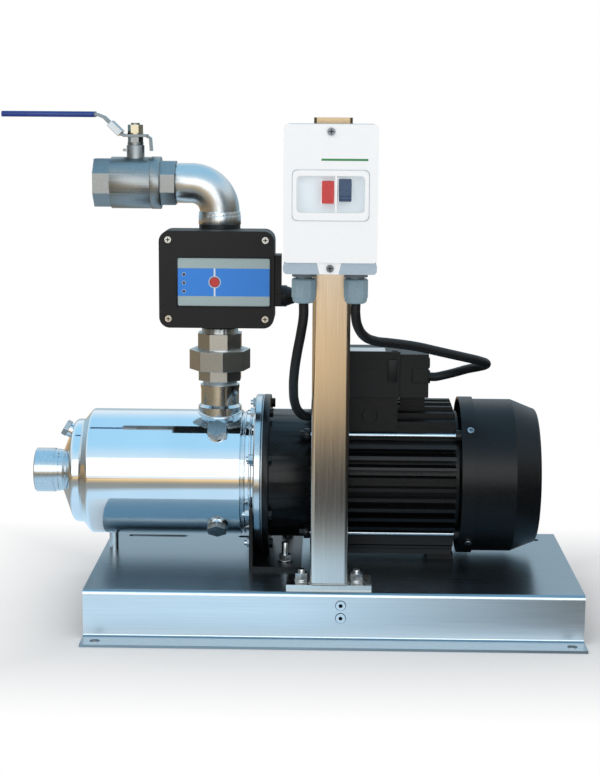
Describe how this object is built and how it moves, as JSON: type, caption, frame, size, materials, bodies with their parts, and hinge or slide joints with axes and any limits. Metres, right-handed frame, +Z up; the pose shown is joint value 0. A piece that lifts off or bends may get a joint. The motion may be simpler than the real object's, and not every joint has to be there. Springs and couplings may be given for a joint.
{
  "type": "booster pump set",
  "caption": "Horizontal multistage pump and fan-cooled motor on a folded steel base, with a flow controller, elbow and lever ball valve on the outlet and a push-button motor switch on a mast.",
  "frame": {"origin": "on the floor, at the centre of the four anchor holes of the base", "axes": "+X along the pump from the suction port to the fan cover, -Y towards the front, +Z up"},
  "size_m": [0.647, 0.3675, 0.5612],
  "materials": {
    "base_steel": "satin brushed",
    "mast_steel": "brushed along the tube",
    "zinc_steel": "zinc plated",
    "support_rubber": "matt moulded",
    "black_steel": "black powder coat",
    "polished_steel": "mirror polished stainless",
    "turned_steel": "turned and polished stainless",
    "cast_steel": "matt cast stainless",
    "inner_steel": "machined",
    "seal_rubber": "moulded",
    "stage_plastic": "moulded",
    "impeller_steel": "pressed stainless",
    "black_cast": "gloss black enamel",
    "black_aluminium": "black enamel over die cast",
    "laminations": "stacked sheet",
    "copper": "enamelled wire",
    "bearing_steel": "ground",
    "black_plastic": "moulded, fine grain",
    "cream_plastic": "moulded",
    "panel_film": "printed film",
    "red_plastic": "moulded",
    "navy_plastic": "moulded",
    "spring_wire": "drawn",
    "lever_steel": "pressed and polished",
    "blue_pvc": "dipped PVC",
    "grey_plastic": "moulded",
    "white_plastic": "moulded, satin",
    "clear_plastic": "clear moulded",
    "gland_plastic": "moulded",
    "cable_rubber": "extruded sheath"
  },
  "bodies": {
    "set": {"base_plate": "base_steel", "base_fasteners": "zinc_steel", "mast": "mast_steel", "base_supports": "support_rubber", "pump_foot": "black_steel", "pump_casing": "polished_steel", "casing_sockets": "turned_steel", "casing_plugs": "turned_steel", "casing_flange": "turned_steel", "seal_plate": "inner_steel", "seal_rings": "seal_rubber", "flange_bolts": "zinc_steel", "stage_diffusers": "stage_plastic", "motor_bracket": "black_cast", "motor_frame": "black_aluminium", "rear_shield": "black_aluminium", "tie_rods": "zinc_steel", "stator_core": "laminations", "stator_windings": "copper", "bearing_outer_rings": "bearing_steel", "fan_cover": "black_plastic", "terminal_box": "black_plastic", "terminal_lid": "black_plastic", "terminal_block": "cream_plastic", "cable_entry_box": "black_plastic", "cover_screws": "zinc_steel", "union_tailpiece": "cast_steel", "union_nut": "cast_steel", "union_head": "cast_steel", "controller_body": "black_plastic", "controller_cover": "black_plastic", "controller_panel": "panel_film", "controller_connector": "black_plastic", "poppet_spring": "spring_wire", "elbow": "cast_steel", "valve_body": "cast_steel", "valve_end": "cast_steel", "valve_seats": "cream_plastic", "enclosure_base": "grey_plastic", "enclosure_cover": "white_plastic", "enclosure_window": "clear_plastic", "protector_module": "grey_plastic", "enclosure_glands": "gland_plastic", "control_cable": "cable_rubber", "motor_cable": "cable_rubber"},
    "rotor": {"impellers": "impeller_steel", "rotor_shaft": "inner_steel", "seal_head": "inner_steel", "rotor_core": "laminations", "bearing_inner_sets": "bearing_steel", "cooling_fan": "black_plastic"},
    "valve_lever": {"valve_ball": "bearing_steel", "valve_stem": "turned_steel", "lever": "lever_steel", "lever_grip": "blue_pvc"},
    "lever_lock": {"lever_lock": "lever_steel"},
    "stop_button": {"stop_button": "red_plastic"},
    "start_button": {"start_button": "navy_plastic"},
    "reset_button": {"reset_button": "red_plastic"},
    "check_poppet": {"check_poppet": "cream_plastic"}
  },
  "joints": [
    {"name": "rotor_spin", "type": "hinge", "parent": "set", "child": "rotor", "pos_m": [0, 0.038, 0.148], "axis": [1, 0, 0], "continuous": true},
    {"name": "valve_turn", "type": "hinge", "parent": "set", "child": "valve_lever", "pos_m": [-0.228, 0.038, 0.482], "axis": [0, 0, 1], "range_deg": [-90, 0]},
    {"name": "lever_lock_slide", "type": "slide", "parent": "valve_lever", "child": "lever_lock", "axis": [-0.7196, 0, 0.6944], "range_m": [0, 0.007]},
    {"name": "stop_press", "type": "slide", "parent": "set", "child": "stop_button", "axis": [0, 1, 0], "range_m": [0, 0.003], "stiffness_N_per_m": 1200},
    {"name": "start_press", "type": "slide", "parent": "set", "child": "start_button", "axis": [0, 1, 0], "range_m": [0, 0.003], "stiffness_N_per_m": 1200},
    {"name": "reset_press", "type": "slide", "parent": "set", "child": "reset_button", "axis": [0, 1, 0], "range_m": [0, 0.0012], "stiffness_N_per_m": 1500},
    {"name": "poppet_lift", "type": "slide", "parent": "set", "child": "check_poppet", "axis": [0, 0, 1], "range_m": [0, 0.008], "stiffness_N_per_m": 150, "springref_m": -0.004, "deforming": ["poppet_spring"]}
  ]
}
